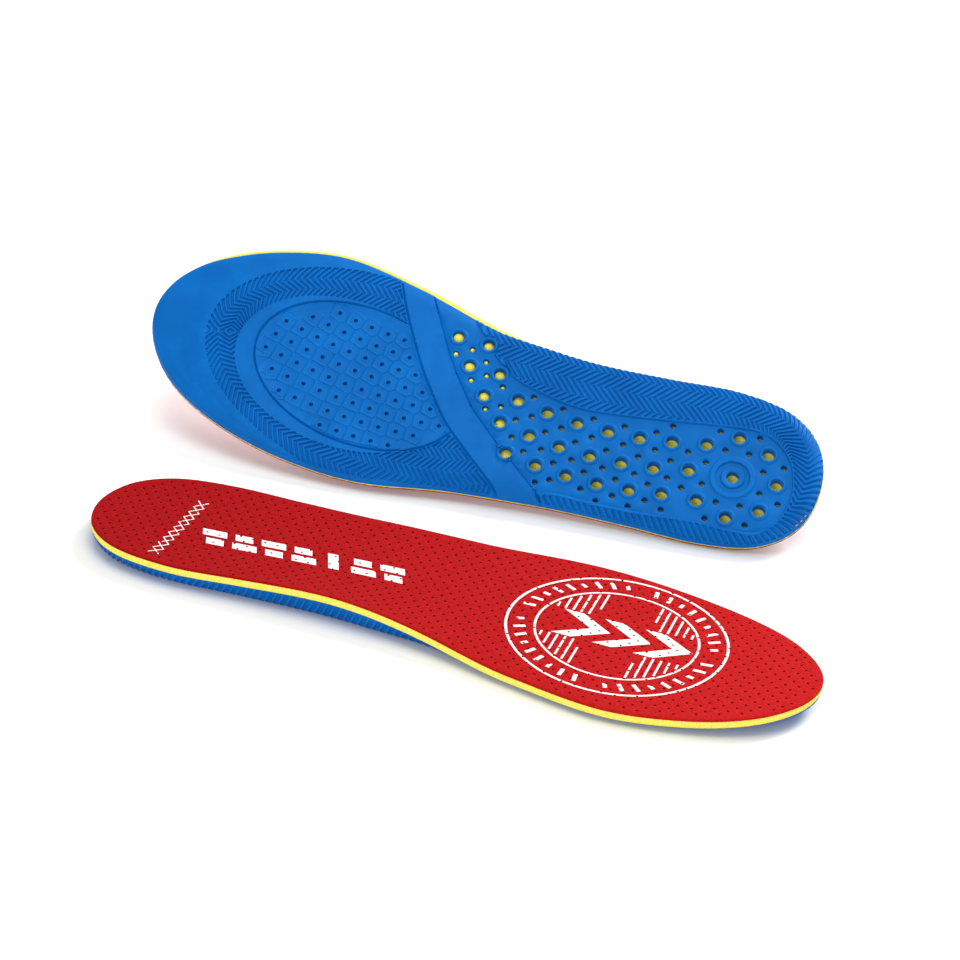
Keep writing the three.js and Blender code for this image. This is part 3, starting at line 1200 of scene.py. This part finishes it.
def badge_prints():
    """Short bars between the badge's two rings, ruled lines inside and three chevrons across the middle."""
    shapes = []
    for group in range(4):
        for k in range(9):
            turn = group * 90 + DASH_TURN * (k + 1)
            long = LONG_DASH if k % 3 else SHORT_DASH
            shapes.append(slab(polar(BADGE, DASH_RADIUS, turn), long, DASH_WIDTH, turn + DASH_LEAN))
    for sx in (-1, 1):
        for k in range(6):
            x = sx * (HATCH_FROM + HATCH_PITCH * k)
            reach = math.sqrt(HATCH_RADIUS**2 - x * x)
            low = HATCH_LOW if k > 0 else FIRST_HATCH_LOW
            for sy in (-1, 1):
                if reach > low + SHORTEST_HATCH:
                    middle = BADGE + (x, sy * (low + reach) / 2)
                    shapes.append(slab(middle, reach - low, HATCH_WIDTH, 90))
    for k in range(3):
        shapes.append(BADGE + (CHEVRON + (CHEVRON_PITCH * k + CHEVRON_FROM, 0)))
    return shapes


def strip_bars():
    """Pairs of slanted bars along the arch and heel, long over short and then short over long."""
    whole = STRIP_END - STRIP_START
    along = whole / np.linalg.norm(whole)
    across = np.array([-along[1], along[0]])
    turn = math.degrees(math.atan2(along[1], along[0]))
    shapes = []
    for k in range(STRIP_PLACES):
        middle = STRIP_START + whole * (k + 0.5) / STRIP_PLACES
        if k == SINGLE_PLACE:
            shapes.append(slab(middle, *SINGLE_BAR, turn, BAR_SLANT))
            continue
        for sy in (-1, 1):
            long = LONG_BAR if (k + (sy > 0)) % 2 else SHORT_BAR
            place = middle + BAR_OFFSET * sy * across - BAR_STAGGER * sy * along
            shapes.append(slab(place, long, BAR_WIDTH, turn, BAR_SLANT))
    return shapes


def heel_chain():
    """Two thin zigzags that cross to make a chain of lozenges across the heel."""
    shapes = []
    for k in range(CHAIN_LINKS):
        x = CHAIN_START[0] + CHAIN_DRIFT * (k - CHAIN_LINKS // 2)
        for way in (-1, 1):
            turn = 90 + way * (1 if k % 2 else -1) * LINK_LEAN
            shapes.append(slab((x, CHAIN_START[1] + CHAIN_PITCH * k), LINK_LENGTH, LINK_WIDTH, turn))
    return shapes


print_shapes = badge_prints() + strip_bars() + heel_chain()


def inside_shape(points, corners):
    inside = np.zeros(len(points), bool)
    x, y = points[:, 0], points[:, 1]
    for (x1, y1), (x2, y2) in zip(corners, np.roll(corners, -1, 0)):
        if y1 != y2:
            crosses = (y1 > y) != (y2 > y)
            inside ^= crosses & (x < (x2 - x1) * (y - y1) / (y2 - y1) + x1)
    return inside


def printed(points):
    """Which points of the cover lie under white print."""
    r = np.hypot(*(points - BADGE).T)
    white = np.abs(r - BADGE_RADIUS + BADGE_WIDTH / 2) < BADGE_WIDTH / 2
    white |= np.abs(r - INNER_RADIUS + INNER_WIDTH / 2) < INNER_WIDTH / 2
    for corners in print_shapes:
        near = ((points > corners.min(0)) & (points < corners.max(0))).all(1)
        white[near] |= inside_shape(points[near], corners)
    return white


def off_punches(points):
    """The distance to the nearest air hole's middle."""
    gap = np.full(len(points), 9.0)
    row = np.round(points[:, 1] / PUNCH_ROW)
    for j in (row - 1, row, row + 1):
        shift = 0.5 * np.mod(j, 2)
        i = np.round(points[:, 0] / PUNCH_PITCH - shift)
        centre = np.stack([PUNCH_PITCH * (i + shift), PUNCH_ROW * j], 1)
        gap = np.minimum(gap, np.hypot(*(points - centre).T))
    return gap


def foam_top(points):
    return base_top(points) + FOAM


def knit_cover():
    """The cover's points, faces and which material each face takes: knit, print or the air hole's painted
    shade.
    """
    over = Drawing()
    steps = np.linspace(0, edge.length, 480, endpoint=False)
    for inset, sink in COVER_ROLL:
        over.line(edge.points if inset == 0 else edge.at(steps, inset), sink, closed=True)
    for centre in punches:
        over.ring(centre, PUNCH_BOTTOM, 6, PUNCH_DEPTH)
        over.ring(centre, PUNCH, 8, DIMPLE_DEPTH)
        over.ring(centre, PUNCH_DIMPLE, 8, 0.0)
    for radius in (BADGE_RADIUS, BADGE_RADIUS - BADGE_WIDTH, INNER_RADIUS, INNER_RADIUS - INNER_WIDTH):
        over.ring(BADGE, radius, 120)
    for corners in print_shapes:
        over.line(corners, closed=True)
    over.dots(grid_dots(FACE_GRID, 2))
    flat, sinks, faces, _ = over.mesh(edge, [])
    dimple = DIMPLE_DEPTH * (1 - smooth_step(PUNCH, PUNCH_DIMPLE, off_punches(flat)))
    sinks = np.where(np.isnan(sinks), dimple, sinks)
    laid = np.column_stack([flat, foam_top(flat) + COVER - sinks])
    points, sheet = close_sheet(flat, laid, faces, edge, [], grid_dots(PLAIN_GRID, 2), foam_top)
    sheet = [f[::-1] for f in sheet]
    middle = flat[faces].mean(1)
    which = np.zeros(len(sheet), int)
    which[: len(faces)] = np.where(sinks[faces].max(1) == PUNCH_DEPTH, 2, printed(middle))
    return points, sheet, which


def knit_bump(tree, shader, place, strength):
    """Fine loops of the knit, over a soft unevenness."""
    loops = node(tree, "ShaderNodeTexVoronoi", in_Scale=1.15)
    tree.links.new(place, loops.inputs["Vector"])
    soft = node(tree, "ShaderNodeTexNoise", in_Scale=0.5, in_Detail=3)
    tree.links.new(place, soft.inputs["Vector"])
    first = bump(tree, shader, soft.outputs["Fac"], 0.25, 0.0005)
    bump(tree, shader, loops.outputs["Distance"], strength, 0.0003, after=first)
    return loops


def red_knit():
    """Deep red with painted light: darker at the heel and a little brighter towards the toes, with a fine
    darker mottle in the knit.
    """
    material, tree, shader = new_material("red_knit", (0.46, 0.006, 0.008), 0.9, 0.06)
    place = pattern_coordinates(tree)
    grain, _ = mottle(tree, place, 0.9, 5, 0.32, 0.68, ((0.72, 0.60, 0.60), (1, 1, 1)))
    split = node(tree, "ShaderNodeSeparateXYZ")
    tree.links.new(place, split.inputs["Vector"])
    # Painted light: the red runs from darker at the heel to brighter at the toes.
    along = node(tree, "ShaderNodeMapRange", in_From_Min=-120.0, in_From_Max=120.0)
    tree.links.new(split.outputs["X"], along.inputs["Value"])
    painted_light_ramp = node(tree, "ShaderNodeMix", data_type="RGBA")
    tree.links.new(along.outputs["Result"], painted_light_ramp.inputs["Factor"])
    painted_light_ramp.inputs["A"].default_value = (0.36, 0.003, 0.005, 1)
    painted_light_ramp.inputs["B"].default_value = (0.55, 0.011, 0.012, 1)
    mix = node(tree, "ShaderNodeMix", data_type="RGBA", blend_type="MULTIPLY", in_Factor=1.0)
    tree.links.new(painted_light_ramp.outputs["Result"], mix.inputs["A"])
    tree.links.new(grain, mix.inputs["B"])
    tree.links.new(mix.outputs["Result"], shader.inputs["Base Color"])
    knit_bump(tree, shader, place, 1.0)
    shader.inputs["Sheen Weight"].default_value = 0.03
    shader.inputs["Sheen Roughness"].default_value = 0.5
    shader.inputs["Sheen Tint"].default_value = (1.0, 0.5, 0.45, 1)
    return material


def white_print():
    """Matt white transfer ink, greyed where it has sunk into the knit."""
    material, tree, shader = new_material("white_print", (0.86, 0.86, 0.85), 0.6, 0.3)
    place = pattern_coordinates(tree)
    colour, _ = mottle(tree, place, 1.4, 4, 0.25, 0.6, ((0.70, 0.66, 0.65), (0.90, 0.90, 0.89)))
    tree.links.new(colour, shader.inputs["Base Color"])
    knit_bump(tree, shader, place, 0.3)
    return material


def hole_shadow():
    """Painted shade: a dark red over each shallow air hole, standing in for the shadow deep inside a hole."""
    material, tree, shader = new_material("air_hole_painted_shade", (0.14, 0.004, 0.006), 1.0, 0.05)
    # Painted shade: these dark reds stand in for the shadow inside the air hole.
    shade_tones = ((0.10, 0.003, 0.004), (0.2, 0.006, 0.008))
    colour, _ = mottle(tree, pattern_coordinates(tree), 3.0, 2, 0.3, 0.7, shade_tones)
    tree.links.new(colour, shader.inputs["Base Color"])
    return material


cover_points, cover_faces, cover_print = knit_cover()
cover_materials = [red_knit(), white_print(), hole_shadow()]
for side in ("left", "right"):
    name = f"{side}_knit_cover"
    cover = make_layer(name, side, cover_points, cover_faces, cover_materials, cover_print, 50)
    fit_to_frame(cover, side, "cover")

# ---------------------------------------------------------------------------------------------
# Floor, light and camera. The pair lies on a white sweep, lit from behind on the right by a soft box,
# with a wide soft box overhead and a weak one in front on the left.


def soft_box(name, place, aim, size, power):
    light = bpy.data.lights.new(name, "AREA")
    light.shape = "RECTANGLE"
    light.size, light.size_y = size
    light.energy = power
    lamp = bpy.data.objects.new(name, light)
    bpy.context.scene.collection.objects.link(lamp)
    lamp.location = place
    direction = Vector(aim) - Vector(place)
    lamp.rotation_euler = direction.to_track_quat("-Z", "Y").to_euler()


FLOOR_HALF = 6
STUDIO_LIGHT = 0.42

floor_mesh = bpy.data.meshes.new("floor")
floor_corners = [(FLOOR_HALF * x, FLOOR_HALF * y, 0) for x, y in ((-1, -1), (1, -1), (1, 1), (-1, 1))]
floor_mesh.from_pydata(floor_corners, [], [(0, 1, 2, 3)])
sweep, _, _ = new_material("white_sweep", (0.93, 0.93, 0.93), 0.9, 0.1)
floor_mesh.materials.append(sweep)
floor = bpy.data.objects.new("floor", floor_mesh)
bpy.context.scene.collection.objects.link(floor)

world = bpy.data.worlds.new("studio")
world.use_nodes = True
world.node_tree.nodes["Background"].inputs["Color"].default_value = (1, 1, 1, 1)
world.node_tree.nodes["Background"].inputs["Strength"].default_value = STUDIO_LIGHT
bpy.context.scene.world = world
soft_box("key_box", (1.5, 1.5, 1.8), (0, 0, 0), (1.0, 1.0), 62)
soft_box("top_box", (0.2, 0.0, 3.0), (0, 0, 0), (2.4, 2.4), 52)
soft_box("front_box", (-1.0, -2.3, 1.0), (0, 0, 0), (1.2, 1.0), 24)
bpy.context.scene.view_settings.view_transform = "Standard"

CAMERA_DISTANCE = 1.0907
CAMERA_ELEVATION = 27.7
CAMERA_ROLL = 6.76
CAMERA_AIM = Vector((0.0040, 0.0545, 0.0))
FOCAL_LENGTH = 101.9

camera_data = bpy.data.cameras.new("camera")
camera_data.lens = FOCAL_LENGTH
camera_data.sensor_width = 36
camera_data.clip_start = 0.01
camera = bpy.data.objects.new("camera", camera_data)
bpy.context.scene.collection.objects.link(camera)
elevation = math.radians(CAMERA_ELEVATION)
back = Vector((0, -math.cos(elevation), math.sin(elevation)))
camera.location = CAMERA_AIM + CAMERA_DISTANCE * back
camera.rotation_mode = "QUATERNION"
roll = Matrix.Rotation(math.radians(CAMERA_ROLL), 3, "Z")
camera.rotation_quaternion = ((-back).to_track_quat("-Z", "Y").to_matrix() @ roll).to_quaternion()
bpy.context.scene.camera = camera
